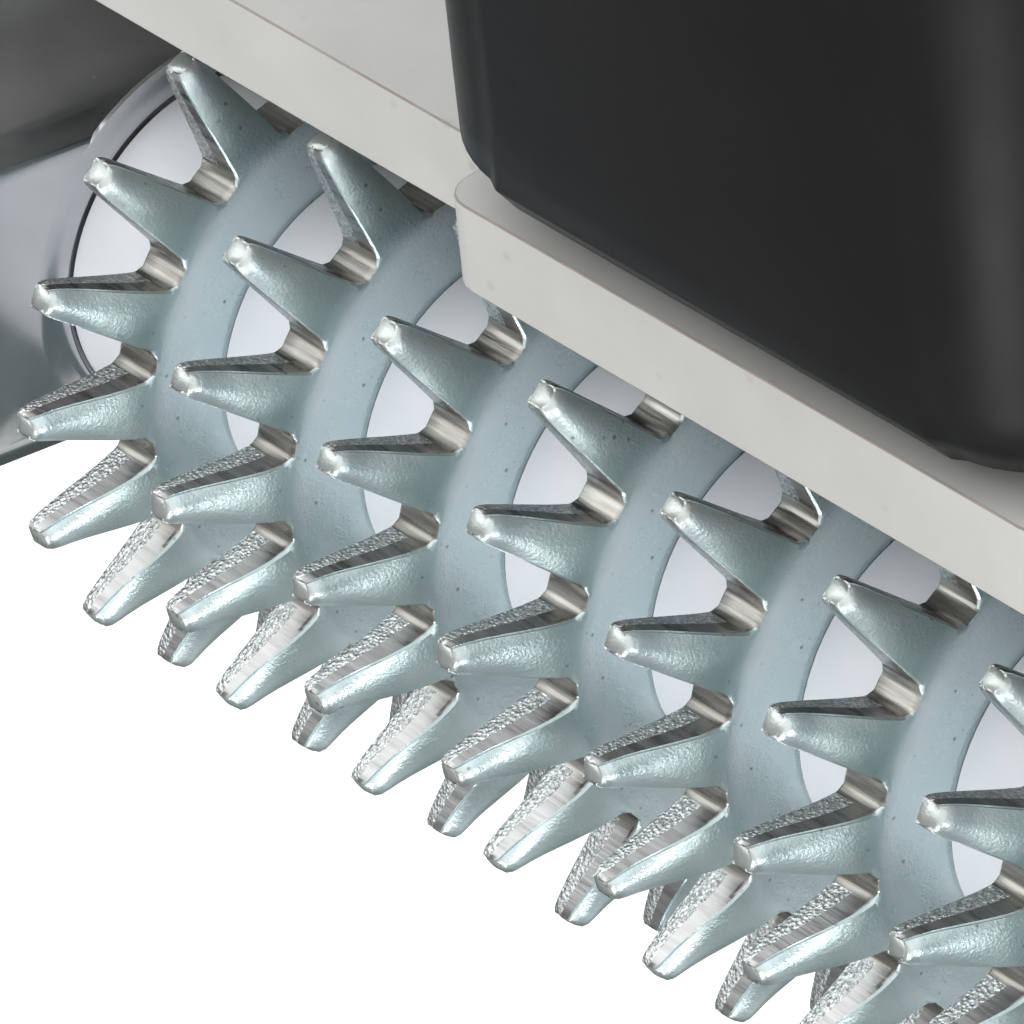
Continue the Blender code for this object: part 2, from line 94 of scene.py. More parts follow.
# Sockets of a colour mix node
MIX_FACTOR = 0
MIX_FIRST = 6
MIX_SECOND = 7
MIX_RESULT = 2


# ---------------------------------------------------------------- camera, light and floor

def make_camera():
    data = bpy.data.cameras.new("camera")
    data.sensor_width = CAMERA_SENSOR
    data.lens = CAMERA_LENS
    data.clip_start, data.clip_end = CAMERA_CLIP
    camera = bpy.data.objects.new("camera", data)
    matrix = Matrix((CAMERA_RIGHT, CAMERA_UP, CAMERA_BACK)).transposed().to_4x4()
    matrix.translation = Vector((FLAT_X - SHEET / 2, 0, AXIS_Z)) + CAMERA_OFFSET
    camera.matrix_world = matrix
    bpy.context.scene.collection.objects.link(camera)
    bpy.context.scene.camera = camera


def make_lights():
    aim = Vector((0, 0, AXIS_Z))
    for name, place, size, power in LAMPS:
        data = bpy.data.lights.new(name, "AREA")
        data.shape = "RECTANGLE"
        data.size, data.size_y = size
        data.energy = power
        lamp = bpy.data.objects.new(name, data)
        lamp.location = place
        lamp.rotation_euler = (aim - Vector(place)).to_track_quat("-Z", "Y").to_euler()
        bpy.context.scene.collection.objects.link(lamp)


def fill_ramp(node, stops):
    """Set a colour ramp's stops, given as (place, colour) in rising order."""
    elements = node.color_ramp.elements
    while len(elements) < len(stops):
        elements.new(0.5)
    for element, (place, colour) in zip(elements, stops):
        element.position = place
        element.color = (*colour, 1)


def colour_mix(tree, blend):
    node = tree.nodes.new("ShaderNodeMix")
    node.data_type = "RGBA"
    node.blend_type = blend
    return node


def make_world():
    """A dim horizon under a bright ceiling, for the metal to mirror; seen directly it is plain and pale."""
    world = bpy.data.worlds.new("studio")
    world.use_nodes = True
    tree = world.node_tree
    sky = tree.nodes["Background"]
    direction = tree.nodes.new("ShaderNodeTexCoord").outputs["Generated"]
    split = tree.nodes.new("ShaderNodeSeparateXYZ")
    tree.links.new(direction, split.inputs[0])
    ramp = tree.nodes.new("ShaderNodeValToRGB")
    fill_ramp(ramp, SKY_STOPS)
    tree.links.new(split.outputs["Z"], ramp.inputs["Fac"])
    light = ramp.outputs["Color"]
    for towards, start, full, strength in SOFT_GLOWS:
        lobe = tree.nodes.new("ShaderNodeVectorMath")
        lobe.operation = "DOT_PRODUCT"
        lobe.inputs[1].default_value = Vector(towards).normalized()
        tree.links.new(direction, lobe.inputs[0])
        rise = tree.nodes.new("ShaderNodeMapRange")
        rise.inputs["From Min"].default_value = start
        rise.inputs["From Max"].default_value = full
        rise.inputs["To Max"].default_value = strength
        tree.links.new(lobe.outputs["Value"], rise.inputs["Value"])
        glow = colour_mix(tree, "ADD")
        glow.inputs[MIX_FACTOR].default_value = 1.0
        tree.links.new(light, glow.inputs[MIX_FIRST])
        tree.links.new(rise.outputs["Result"], glow.inputs[MIX_SECOND])
        light = glow.outputs[MIX_RESULT]
    rays = tree.nodes.new("ShaderNodeLightPath")
    mix = colour_mix(tree, "MIX")
    mix.inputs[MIX_SECOND].default_value = BACKDROP
    tree.links.new(rays.outputs["Is Camera Ray"], mix.inputs[MIX_FACTOR])
    tree.links.new(light, mix.inputs[MIX_FIRST])
    tree.links.new(mix.outputs[MIX_RESULT], sky.inputs["Color"])
    sky.inputs["Strength"].default_value = 1.0
    bpy.context.scene.world = world
    bpy.context.scene.view_settings.view_transform = "Standard"
    bpy.context.scene.view_settings.look = "None"


def node_material(name):
    material = bpy.data.materials.new(name)
    material.use_nodes = True
    return material, material.node_tree, material.node_tree.nodes["Principled BSDF"]


def make_floor():
    """Plain pale paper that lights itself a little and that mirror-like surfaces don't see."""
    bm = bmesh.new()
    bmesh.ops.create_grid(bm, x_segments=2, y_segments=2, size=FLOOR_SIZE)
    mesh = bpy.data.meshes.new("floor")
    bm.to_mesh(mesh)
    bm.free()
    floor = bpy.data.objects.new("floor", mesh)
    bpy.context.scene.collection.objects.link(floor)
    material, _, shader = node_material("floor_paper")
    shader.inputs["Base Color"].default_value = (FLOOR_GREY, FLOOR_GREY, FLOOR_GREY, 1)
    shader.inputs["Roughness"].default_value = FLOOR_ROUGHNESS
    shader.inputs["Emission Color"].default_value = (1, 1, 1, 1)
    shader.inputs["Emission Strength"].default_value = FLOOR_GLOW
    mesh.materials.append(material)
    floor.visible_glossy = False


# ---------------------------------------------------------------- materials

class Nodes:
    """Short helpers for wiring one material. Scales are per metre, in object coordinates."""

    def __init__(self, name):
        self.material, self.tree, self.shader = node_material(name)
        self.coords = self.tree.nodes.new("ShaderNodeTexCoord").outputs["Object"]

    def feed(self, value, socket):
        """Link a socket's value, or set a plain number or colour."""
        if isinstance(value, bpy.types.NodeSocket):
            self.tree.links.new(value, socket)
        else:
            socket.default_value = value if isinstance(value, float) else (*value, 1)

    def stretch(self, scale):
        mapping = self.tree.nodes.new("ShaderNodeMapping")
        mapping.inputs["Scale"].default_value = scale
        self.tree.links.new(self.coords, mapping.inputs["Vector"])
        return mapping.outputs["Vector"]

    def noise(self, scale, detail=4.0, roughness=0.55, vector=None):
        node = self.tree.nodes.new("ShaderNodeTexNoise")
        node.inputs["Scale"].default_value = scale
        node.inputs["Detail"].default_value = detail
        node.inputs["Roughness"].default_value = roughness
        self.tree.links.new(vector or self.coords, node.inputs["Vector"])
        return node.outputs["Fac"]

    def cells(self, scale):
        """Distance to the nearest cell centre."""
        node = self.tree.nodes.new("ShaderNodeTexVoronoi")
        node.inputs["Scale"].default_value = scale
        self.tree.links.new(self.coords, node.inputs["Vector"])
        return node.outputs["Distance"]

    def ramp(self, value, stops):
        node = self.tree.nodes.new("ShaderNodeValToRGB")
        fill_ramp(node, stops)
        self.tree.links.new(value, node.inputs["Fac"])
        return node.outputs["Color"]

    def grey(self, value, low, high, start=0.0, end=1.0):
        """Low where the value is start, high where it is end, and between them in proportion."""
        node = self.tree.nodes.new("ShaderNodeMapRange")
        node.inputs["From Min"].default_value = start
        node.inputs["From Max"].default_value = end
        node.inputs["To Min"].default_value = low
        node.inputs["To Max"].default_value = high
        self.tree.links.new(value, node.inputs["Value"])
        return node.outputs["Result"]

    def vary(self, noise, low, high):
        """Low to high over the range that noise usually covers."""
        return self.grey(noise, low, high, 0.3, 0.7)

    def mix(self, factor, first, second):
        node = colour_mix(self.tree, "MIX")
        for value, place in ((factor, MIX_FACTOR), (first, MIX_FIRST), (second, MIX_SECOND)):
            self.feed(value, node.inputs[place])
        return node.outputs[MIX_RESULT]

    def maths(self, operation, first, second):
        node = self.tree.nodes.new("ShaderNodeMath")
        node.operation = operation
        self.feed(first, node.inputs[0])
        self.feed(second, node.inputs[1])
        return node.outputs[0]

    def radius(self):
        """Distance from the drum's axis, in metres."""
        split = self.tree.nodes.new("ShaderNodeSeparateXYZ")
        self.tree.links.new(self.coords, split.inputs[0])
        squares = [self.maths("MULTIPLY", split.outputs[axis], split.outputs[axis]) for axis in ("Y", "Z")]
        return self.maths("SQRT", self.maths("ADD", *squares), 0.0)

    def specks(self, scale, dot, patch_scale, patch, detail=4.0):
        """1 on small dots, but only inside patches; dot and patch say where each fades out or in."""
        dots = self.grey(self.cells(scale), 1.0, 0.0, *dot)
        patches = self.grey(self.noise(patch_scale, detail), 0.0, 1.0, *patch)
        return self.maths("MULTIPLY", dots, patches)

    def bump(self, height, strength, distance, under=None):
        node = self.tree.nodes.new("ShaderNodeBump")
        node.inputs["Strength"].default_value = strength
        node.inputs["Distance"].default_value = distance
        self.tree.links.new(height, node.inputs["Height"])
        if under is not None:
            self.tree.links.new(under, node.inputs["Normal"])
        return node.outputs["Normal"]

    def finish(self, colour, roughness, normal=None, metallic=0.0):
        self.feed(colour, self.shader.inputs["Base Color"])
        self.feed(roughness, self.shader.inputs["Roughness"])
        if normal is not None:
            self.feed(normal, self.shader.inputs["Normal"])
        self.shader.inputs["Metallic"].default_value = metallic
        return self.material


def zinc_material():
    """Bright zinc plate: bluish grey clouds, painted shade on the tooth roots and ends, small pits and fine
    grain.
    """
    n = Nodes("zinc_plate")
    cloud = n.noise(260.0, detail=5.0, roughness=0.6)
    colour = n.ramp(cloud, ((0.3, (0.54, 0.64, 0.67)),
                            (0.5, (0.61, 0.70, 0.73)),
                            (0.7, (0.67, 0.75, 0.755))))
    tint = n.grey(n.noise(700.0, detail=3.0), 0.0, 0.14, start=0.5, end=0.8)
    colour = n.mix(tint, colour, (0.70, 0.71, 0.60))
    # Painted shade: the tooth fronts are darkened and tinted teal from just above the root, fading towards
    # the tip, standing in for the dim surroundings they mirror.
    wander = n.grey(n.noise(600.0, detail=2.0), -0.4 * MM, 0.4 * MM)
    reach = n.maths("ADD", n.radius(), wander)
    rising = n.grey(reach, 0.0, 1.0, start=ROOT_R - 0.5 * MM, end=ROOT_R + 0.5 * MM)
    falling = n.grey(reach, 1.0, 0.35, start=TIP_R - 1.9 * MM, end=TIP_R - 0.4 * MM)
    root = n.maths("MULTIPLY", rising, falling)
    colour = n.mix(n.maths("MULTIPLY", root, 0.7), colour, (0.27, 0.345, 0.33))
    # Painted shade: the tooth ends are darkened to tone down the light they catch.
    end = n.grey(n.radius(), 0.0, 0.7, start=TIP_R - 0.4 * MM, end=TIP_R - 0.1 * MM)
    colour = n.mix(end, colour, (0.36, 0.37, 0.34))
    pits = n.specks(2600.0, (0.06, 0.2), 900.0, (0.55, 0.62), detail=2.0)
    colour = n.mix(pits, colour, (0.16, 0.19, 0.2))
    grain = n.noise(11000.0, detail=3.0, roughness=0.65)
    fine = n.bump(grain, strength=0.45, distance=0.03 * MM)
    normal = n.bump(n.noise(1500.0, detail=3.0), strength=0.22, distance=0.08 * MM, under=fine)
    return n.finish(colour, n.vary(cloud, 0.24, 0.38), normal, metallic=0.8)


def sheared_material():
    """The cut edge of the sheet: drawn streaks across its thickness, faintly tan in the notches."""
    n = Nodes("sheared_edge")
    streak = n.noise(3000.0, detail=3.0, roughness=0.6, vector=n.stretch((0.08, 1.0, 1.0)))
    flank = n.ramp(streak, ((0.3, (0.20, 0.20, 0.195)),
                            (0.5, (0.32, 0.325, 0.32)),
                            (0.68, (0.42, 0.43, 0.43))))
    notch = n.ramp(streak, ((0.3, (0.17, 0.165, 0.15)),
                            (0.5, (0.27, 0.265, 0.245)),
                            (0.68, (0.42, 0.42, 0.40))))
    up_flank = n.grey(n.radius(), 0.0, 1.0, start=ROOT_R + 0.15 * MM, end=ROOT_R + 0.6 * MM)
    normal = n.bump(streak, strength=0.5, distance=0.04 * MM)
    return n.finish(n.mix(up_flank, notch, flank), n.vary(streak, 0.2, 0.4), normal, metallic=1.0)


def fractured_material():
    """The torn strip of the cut edge: coarse and sparkling, from dark to nearly white."""
    n = Nodes("fractured_edge")
    speck = n.noise(9000.0, detail=4.0, roughness=0.7)
    colour = n.ramp(speck, ((0.35, (0.26, 0.28, 0.28)),
                            (0.52, (0.58, 0.60, 0.60)),
                            (0.66, (0.92, 0.94, 0.93))))
    fine = n.bump(speck, strength=0.7, distance=0.05 * MM)
    normal = n.bump(n.cells(9500.0), strength=0.8, distance=0.04 * MM, under=fine)
    return n.finish(colour, 0.3, normal, metallic=1.0)


def core_material():
    """Smooth pale plastic of the sleeves between the rings."""
    n = Nodes("pale_core")
    cloud = n.noise(180.0, detail=3.0)
    colour = n.ramp(cloud, ((0.35, (0.66, 0.68, 0.71)), (0.65, (0.72, 0.735, 0.76))))
    normal = n.bump(n.noise(2500.0, detail=3.0), strength=0.08, distance=0.03 * MM)
    return n.finish(colour, 0.42, normal)


def steel_material():
    """Polished bar steel: fine lengthwise brushing, faint blotches and pale dust."""
    n = Nodes("polished_steel")
    brush = n.noise(1400.0, detail=4.0, roughness=0.6, vector=n.stretch((1.0, 1.0, 0.06)))
    blotch = n.noise(160.0, detail=4.0, roughness=0.6)
    colour = n.ramp(blotch, ((0.35, (0.50, 0.51, 0.52)), (0.65, (0.62, 0.62, 0.63))))
    dust = n.specks(1300.0, (0.03, 0.1), 500.0, (0.52, 0.6))
    colour = n.mix(dust, colour, (0.85, 0.85, 0.85))
    normal = n.bump(brush, strength=0.1, distance=0.04 * MM)
    return n.finish(colour, n.vary(blotch, 0.12, 0.26), normal, metallic=1.0)


def housing_material():
    """Pale satin coat over cast metal: slight orange peel, faint stains and small pits."""
    n = Nodes("pale_housing")
    stain = n.noise(120.0, detail=5.0, roughness=0.6)
    colour = n.ramp(stain, ((0.3, (0.385, 0.38, 0.365)),
                            (0.6, (0.435, 0.43, 0.415)),
                            (0.8, (0.41, 0.40, 0.38))))
    pits = n.specks(900.0, (0.05, 0.2), 300.0, (0.5, 0.58))
    colour = n.mix(n.maths("MULTIPLY", pits, 0.55), colour, (0.28, 0.25, 0.23))
    normal = n.bump(n.noise(1800.0, detail=3.0), strength=0.12, distance=0.04 * MM)
    return n.finish(colour, n.vary(stain, 0.38, 0.52), normal)


def edge_material():
    """The housing's rounded edges in a dark, faintly brown tone: painted shade that tones down the light
    these edges catch.
    """
    n = Nodes("housing_edge")
    stain = n.noise(400.0, detail=4.0)
    colour = n.ramp(stain, ((0.3, (0.17, 0.14, 0.12)), (0.7, (0.27, 0.24, 0.22))))
    return n.finish(colour, n.vary(stain, 0.4, 0.5))


def black_material(name, base, rough_low, rough_high, grain):
    """Black plastic with paler patches, scattered dust and a moulded grain."""
    n = Nodes(name)
    patch = n.noise(90.0, detail=4.0)
    paler = tuple(part * 1.5 for part in base)
    colour = n.ramp(patch, ((0.35, base), (0.7, paler)))
    dust = n.specks(420.0, (0.02, 0.07), 200.0, (0.58, 0.64))
    colour = n.mix(n.maths("MULTIPLY", dust, 0.5), colour, (0.18, 0.17, 0.16))
    normal = n.bump(n.noise(grain, detail=3.0), strength=0.2, distance=0.05 * MM)
    n.shader.inputs["Specular IOR Level"].default_value = 0.13
    return n.finish(colour, n.vary(patch, rough_low, rough_high), normal)


def screw_material():
    """Dark oxidised steel."""
    n = Nodes("dark_screws")
    patch = n.noise(500.0, detail=4.0)
    colour = n.ramp(patch, ((0.3, (0.06, 0.06, 0.07)), (0.7, (0.14, 0.14, 0.15))))
    normal = n.bump(n.noise(3000.0, detail=3.0), strength=0.15, distance=0.03 * MM)
    return n.finish(colour, n.vary(patch, 0.25, 0.45), normal, metallic=1.0)


def bronze_material():
    """Sintered bronze."""
    n = Nodes("bush_bronze")
    patch = n.noise(900.0, detail=4.0)
    colour = n.ramp(patch, ((0.3, (0.34, 0.2, 0.08)), (0.7, (0.55, 0.36, 0.16))))
    normal = n.bump(n.cells(4000.0), strength=0.3, distance=0.04 * MM)
    return n.finish(colour, n.vary(patch, 0.3, 0.5), normal, metallic=1.0)


# ---------------------------------------------------------------- shapes

def smooth(t):
    """0 to 1 with a gentle start and end."""
    t = min(max(t, 0.0), 1.0)
    return t * t * (3 - 2 * t)


def link(name, bm, materials, sharp_deg=40.0):
    """One finished mesh as an object, shaded smooth up to an angle."""
    bmesh.ops.recalc_face_normals(bm, faces=bm.faces)
    mesh = bpy.data.meshes.new(name)
    bm.to_mesh(mesh)
    bm.free()
    mesh.shade_smooth()
    mesh.set_sharp_from_angle(angle=math.radians(sharp_deg))
    for material in materials:
        mesh.materials.append(material)
    item = bpy.data.objects.new(name, mesh)
    bpy.context.scene.collection.objects.link(item)
    return item


def place(item, body, node, slot_name, at=(0, 0, 0)):
    """Move a piece to its place, put it on its body and let it stand for a CAD node."""
    item.matrix_world = Matrix.Translation(at)
    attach(item, body)
    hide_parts(node)


def turned(profile, segments):
    """Spin (x, radius) points about the X axis into a closed solid."""
    bm = bmesh.new()
    loops = []
    for step in range(segments):
        angle = math.tau * step / segments
        loops.append([bm.verts.new((x, r * math.cos(angle), r * math.sin(angle))) for x, r in profile])
    for step in range(segments):
        here = loops[step]
        there = loops[(step + 1) % segments]
        for row in range(len(profile)):
            follow = (row + 1) % len(profile)
            bm.faces.new((here[row], here[follow], there[follow], there[row]))
    bmesh.ops.remove_doubles(bm, verts=bm.verts, dist=1e-7)
    return bm


def loft(loops):
    """Join equal loops of points into a closed body with flat ends."""
    bm = bmesh.new()
    rows = [[bm.verts.new(point) for point in loop] for loop in loops]
    count = len(rows[0])
    for here, there in zip(rows, rows[1:]):
        for index in range(count):
            follow = (index + 1) % count
            bm.faces.new((here[index], here[follow], there[follow], there[index]))
    bm.faces.new(rows[0])
    bm.faces.new(rows[-1])
    return bm


# ---------------------------------------------------------------- toothed rings

# Places across a tooth, crowded near both flanks, and through the sheet from front to back
ACROSS_LEVELS = (-1.0, -0.93, -0.72, -0.36, 0.0, 0.36, 0.72, 0.93, 1.0)
THROUGH_LEVELS = (0.0, 0.045, 0.16, 0.5, 0.62, 0.95, 1.0)
ACROSS = len(ACROSS_LEVELS) - 1
THROUGH = len(THROUGH_LEVELS) - 1
NOTCH_CELLS = 4                 # cells across a notch
PER_PITCH = ACROSS + NOTCH_CELLS
# How far up a tooth each stage of its mesh lies, from the root (0) to the tip (1)
TOOTH_STAGES = (0.012, 0.028, 0.055, 0.13, 0.22, 0.32, 0.43, 0.55, 0.67, 0.78, 0.87, 0.94, 0.98, 1.0)

BORE_CHAMFER = 0.12 * MM
BAND_RADII = (BORE_R + 0.7 * MM, BORE_R + 1.05 * MM, 5.6 * MM, 6.2 * MM, 6.7 * MM, 7.1 * MM, 7.35 * MM)
OUTER_START = 3 + len(BAND_RADII)   # the first point of a ring's section that lies on its outside
RIM_DROP = 0.03 * MM            # softening of a notch's front and back edges
EDGE_R = 0.09 * MM              # rounding of a tooth's front edges
NOTCH_FILLET = 0.18 * MM        # corner between a tooth's flank and the notch
FILLET_FLARE = 0.8              # how much of that corner is filled
TIP_HALF = 0.385 * MM           # half a tooth's width at its end, before the rounding
TIP_THICK = 0.9 * MM
TIP_BACK = 1.12 * MM            # where the back of a tip lies behind the sheet's middle
FRONT_EASE = 0.65               # how much of the front's lean is eased at root and tip
DOME_ROOT = 0.05 * MM           # how far a tooth's front stands out along its middle
DOME_GAIN = 0.17 * MM
DOME_POWER = 2.2
END_START = 0.9                 # where the rounding towards a tooth's end begins
END_HALF = 0.1 * MM             # what it takes off the half width, the front and the back
END_FRONT = 0.17 * MM
END_BACK = 0.07 * MM
END_DROP = 0.05 * MM            # how much lower the end's corners lie than its middle
TORN_FROM_LEVEL = 3             # the torn strip starts at this cell through the sheet
TORN_FROM_STAGE = 0.12
# Random differences between teeth, in mm
LEAN_SPREAD = (-0.07, 0.07)
WIDTH_SPREAD = (-0.04, 0.05)
LENGTH_SPREAD = (-0.12, 0.0)
# Material slots of a ring
PLATED = 0
SHEARED = 1
TORN = 2


def tooth_shape(t, lean, wider):
    """Half width, front x and back x of a tooth at t from root (0) to tip (1)."""
    root_half = ROOT_R * math.sin(math.radians((360.0 / TEETH - NOTCH_DEG) / 2))
    half = root_half + (TIP_HALF - root_half) * t + wider * t
    climb = t * (TIP_R - ROOT_R)
    if climb < NOTCH_FILLET:
        rest = NOTCH_FILLET - climb
        half += (NOTCH_FILLET - math.sqrt(NOTCH_FILLET ** 2 - rest ** 2)) * FILLET_FLARE
    tip_front = TIP_BACK - TIP_THICK + lean
    front = -SHEET / 2 + (tip_front + SHEET / 2) * ((1 - FRONT_EASE) * t + FRONT_EASE * smooth(t))
    back = SHEET / 2 + (TIP_BACK + lean - SHEET / 2) * smooth(t)
    if t > END_START:
        pull = ((t - END_START) / (1 - END_START)) ** 2
        half -= END_HALF * pull
        front += END_FRONT * pull
        back -= END_BACK * pull
    return half, front, back


def section_point(s, level, t, shape):
    """Across and x offsets of one point of a tooth's closed section; s is -1 to 1, level 0 to 1."""
    half, front, back = shape
    dome = DOME_ROOT + DOME_GAIN * smooth(t)
    across = s * half
    front_here = front + dome * abs(s) ** DOME_POWER
    x = front_here + (back - front_here) * level
    at_flank = abs(s) == 1.0
    if at_flank and level == 0.0:
        across *= 1 - EDGE_R * 0.45 / half
        x += EDGE_R * 0.35
    if at_flank and level == 1.0:
        across *= 1 - EDGE_R * 0.3 / half
    return across, x


def ring_profile():
    """A ring's closed section, as (x, radius): bore, front, outside and back."""
    half_sheet = SHEET / 2
    points = [(half_sheet, BORE_R), (BORE_CHAMFER - half_sheet, BORE_R), (-half_sheet, BORE_R + BORE_CHAMFER)]
    points += [(-half_sheet, radius) for radius in BAND_RADII]
    for level in THROUGH_LEVELS:
        drop = RIM_DROP if level in (0.0, 1.0) else 0.0
        points.append((-half_sheet + SHEET * level, ROOT_R - drop))
    return points + [(half_sheet, radius) for radius in reversed(BAND_RADII)]


def ring_angles():
    """The angle of each column of points round a ring: across every tooth's root, then its notch."""
    root_deg = math.degrees(math.asin(tooth_shape(0.0, 0.0, 0.0)[0] / ROOT_R))
    notch_deg = 360.0 / TEETH - 2 * root_deg
    angles = []
    for tooth in range(TEETH):
        centre = tooth * 360.0 / TEETH
        angles += [centre + s * root_deg for s in ACROSS_LEVELS]
        angles += [centre + root_deg + notch_deg * cell / NOTCH_CELLS for cell in range(1, NOTCH_CELLS)]
    return [math.radians(angle) for angle in angles]


def grow_tooth(bm, grid, angle, dice):
    """Raise one tooth in stages from the grid of points at its root, and close its end."""
    out = Vector((0, math.cos(angle), math.sin(angle)))
    side = Vector((0, -math.sin(angle), math.cos(angle)))
    lean = dice.uniform(*LEAN_SPREAD) * MM
    wider = dice.uniform(*WIDTH_SPREAD) * MM
    longer = dice.uniform(*LENGTH_SPREAD) * MM
    for t in TOOTH_STAGES:
        at_end = t == TOOTH_STAGES[-1]
        shape = tooth_shape(t, lean * t, wider)
        radius = ROOT_R + (TIP_R - ROOT_R + longer) * t
        fresh = [[None] * (THROUGH + 1) for _ in ACROSS_LEVELS]
        for i, s in enumerate(ACROSS_LEVELS):
            for j, level in enumerate(THROUGH_LEVELS):
                inside = 0 < i < ACROSS and 0 < j < THROUGH
                if inside and not at_end:
                    continue
                across, x = section_point(s, level, t, shape)
                drop = END_DROP * (abs(s) ** 3 + abs(2 * level - 1) ** 3) if at_end else 0.0
                fresh[i][j] = bm.verts.new(out * (radius - drop) + side * across + Vector((x, 0, 0)))
        for i in range(ACROSS):
            for j in (0, THROUGH):
                quad = (grid[i][j], grid[i + 1][j], fresh[i + 1][j], fresh[i][j])
                bm.faces.new(quad).material_index = PLATED
        for j in range(THROUGH):
            finish = TORN if j >= TORN_FROM_LEVEL and t > TORN_FROM_STAGE else SHEARED
            for i in (0, ACROSS):
                quad = (grid[i][j], grid[i][j + 1], fresh[i][j + 1], fresh[i][j])
                bm.faces.new(quad).material_index = finish if j > 0 else PLATED
        grid = fresh
    for i in range(ACROSS):
        for j in range(THROUGH):
            bm.faces.new((grid[i][j], grid[i + 1][j], grid[i + 1][j + 1], grid[i][j + 1]))


def ring_mesh(seed):
    """A stamped ring: a band with a rounded bore edge and teeth that dome, thin and lean back."""
    dice = random.Random(seed)
    bm = bmesh.new()
    profile = ring_profile()
    loops = []
    for angle in ring_angles():
        loops.append([bm.verts.new((x, r * math.cos(angle), r * math.sin(angle))) for x, r in profile])
    for index, here in enumerate(loops):
        there = loops[(index + 1) % len(loops)]
        under_tooth = index % PER_PITCH < ACROSS
        for row in range(len(profile)):
            outside = OUTER_START <= row < OUTER_START + THROUGH
            if outside and under_tooth:
                continue
            follow = (row + 1) % len(profile)
            quad = (here[row], there[row], there[follow], here[follow])
            bm.faces.new(quad).material_index = SHEARED if outside else PLATED
    for tooth in range(TEETH):
        first = tooth * PER_PITCH
        root = [loop[OUTER_START:OUTER_START + THROUGH + 1] for loop in loops[first:first + ACROSS + 1]]
        grow_tooth(bm, root, math.radians(tooth * 360.0 / TEETH), dice)
    return bm


def ring_x(number):
    """The middle of a ring along the drum; half numbers lie between rings."""
    return ((RING_COUNT + 1) / 2 - number) * PITCH


def make_rings(materials):
    for number in range(1, RING_COUNT + 1):
        bm = ring_mesh(100 + number)
        turn = Matrix.Rotation(math.radians(FIRST_TOOTH_DEG + RING_SLIP_DEG[number - 1]), 4, "X")
        bmesh.ops.transform(bm, matrix=turn, verts=bm.verts)
        ring = link("ring_detail_%02d" % number, bm, materials, 50.0)
        node = "toothed_ring_%02d" % number
        place(ring, "drum", node, "zinc_plate", (ring_x(number), 0, AXIS_Z))


# ---------------------------------------------------------------- sleeves between rings

SLEEVE_CHAMFER = 0.08 * MM
SLEEVE_GAP = 0.02 * MM          # between a sleeve and the ring beside it
END_GAP = 0.08 * MM             # between an end collar and the post's flat
SLEEVE_SEGMENTS = 96


def sleeve_profile(start, end):
    return [(start, BORE_R), (start, SPACER_R - SLEEVE_CHAMFER), (start + SLEEVE_CHAMFER, SPACER_R),
            (end - SLEEVE_CHAMFER, SPACER_R), (end, SPACER_R - SLEEVE_CHAMFER), (end, BORE_R)]


def make_sleeves(material):
    """Pale sleeves that fill the room between rings, and a collar at each end."""
    half = (PITCH - SHEET) / 2 - SLEEVE_GAP
    for number in range(1, RING_COUNT):
        bm = turned(sleeve_profile(-half, half), SLEEVE_SEGMENTS)
        spacer = link("spacer_detail_%02d" % number, bm, [material])
        node = "ring_spacer_%02d" % number
        place(spacer, "drum", node, "pale_core", (ring_x(number + 0.5), 0, AXIS_Z))
    ring_face = ring_x(1) + SHEET / 2 + SLEEVE_GAP
    for side, name in SIDES:
        profile = [(side * x, r) for x, r in sleeve_profile(ring_face, FLAT_X - END_GAP)]
        collar = link("collar_detail_" + name, turned(profile, SLEEVE_SEGMENTS), [material])
        place(collar, "drum", "clamp_collar_" + name, "pale_core", (0, 0, AXIS_Z))


# ---------------------------------------------------------------- housing and end cap

BEVEL_SEGMENTS = 3


def bevelled_copy(node, materials, width, slot_name, angle=30.0):
    """A CAD piece with its flat faces merged and its edges rounded; the last material goes on the edges."""
    bm = bmesh.new()
    bm.from_mesh(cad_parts[node].data)
    bmesh.ops.remove_doubles(bm, verts=bm.verts, dist=1e-6)
    bmesh.ops.dissolve_limit(bm, angle_limit=math.radians(1.5), verts=bm.verts, edges=bm.edges)
    item = link(node + "_detail", bm, materials, 35.0)
    bevel = item.modifiers.new("rounded_edges", "BEVEL")
    bevel.width = width
    bevel.segments = BEVEL_SEGMENTS
    bevel.limit_method = "ANGLE"
    bevel.angle_limit = math.radians(angle)
    bevel.material = len(materials) - 1
    place(item, "handle", node, slot_name)


# ---------------------------------------------------------------- end posts and lips

POST_R = 6.6 * MM
FLAT_HALF = 4.65 * MM           # half width of the flat that faces the drum
POST_X = FLAT_X + math.sqrt(POST_R ** 2 - FLAT_HALF ** 2)
POST_LEAN = -0.14               # shift in Y for each unit of height
POST_STEPS = 12
FOOT = 0.25 * MM                # chamfer at a post's foot
CROWN = 1.2 * MM                # rounding at its top
CROWN_STEPS = 6
CREASE_R = 0.35 * MM            # softening where the flat meets the round
ROUND_STEPS = 90
LIP_GAP = 0.07 * MM
LIP_WIDTH = 1.0 * MM
LIP_RISE = 0.15 * MM
LIP_CREST = 0.16                # the lip's highest point, as a share of its width
LIP_STEPS = 25
LIP_SUNK = 0.15 * MM


def post_section(inset):
    """A round bar's outline with a flat towards -X and softened creases, as (x, y) from the bar's middle."""
    radius = POST_R - inset
    flat = POST_X - FLAT_X - inset
    half = math.sqrt(radius ** 2 - flat ** 2)
    reach = math.acos((0.5 * MM - flat) / radius)
    angles = [reach * (2 * step / ROUND_STEPS - 1) for step in range(ROUND_STEPS + 1)]
    points = [(radius * math.cos(angle), radius * math.sin(angle)) for angle in angles]
    edge = half - CREASE_R * 1.6
    crease = [(-flat + 0.34 * MM, half + 0.02 * MM), (-flat + 0.14 * MM, half - CREASE_R * 0.2),
              (-flat + 0.03 * MM, half - CREASE_R * 0.8), (-flat, edge)]
    across = [(-flat, edge * part / 4) for part in (3, 2, 1, 0, -1, -2, -3)]
    return points + crease + across + [(x, -y) for x, y in reversed(crease)]


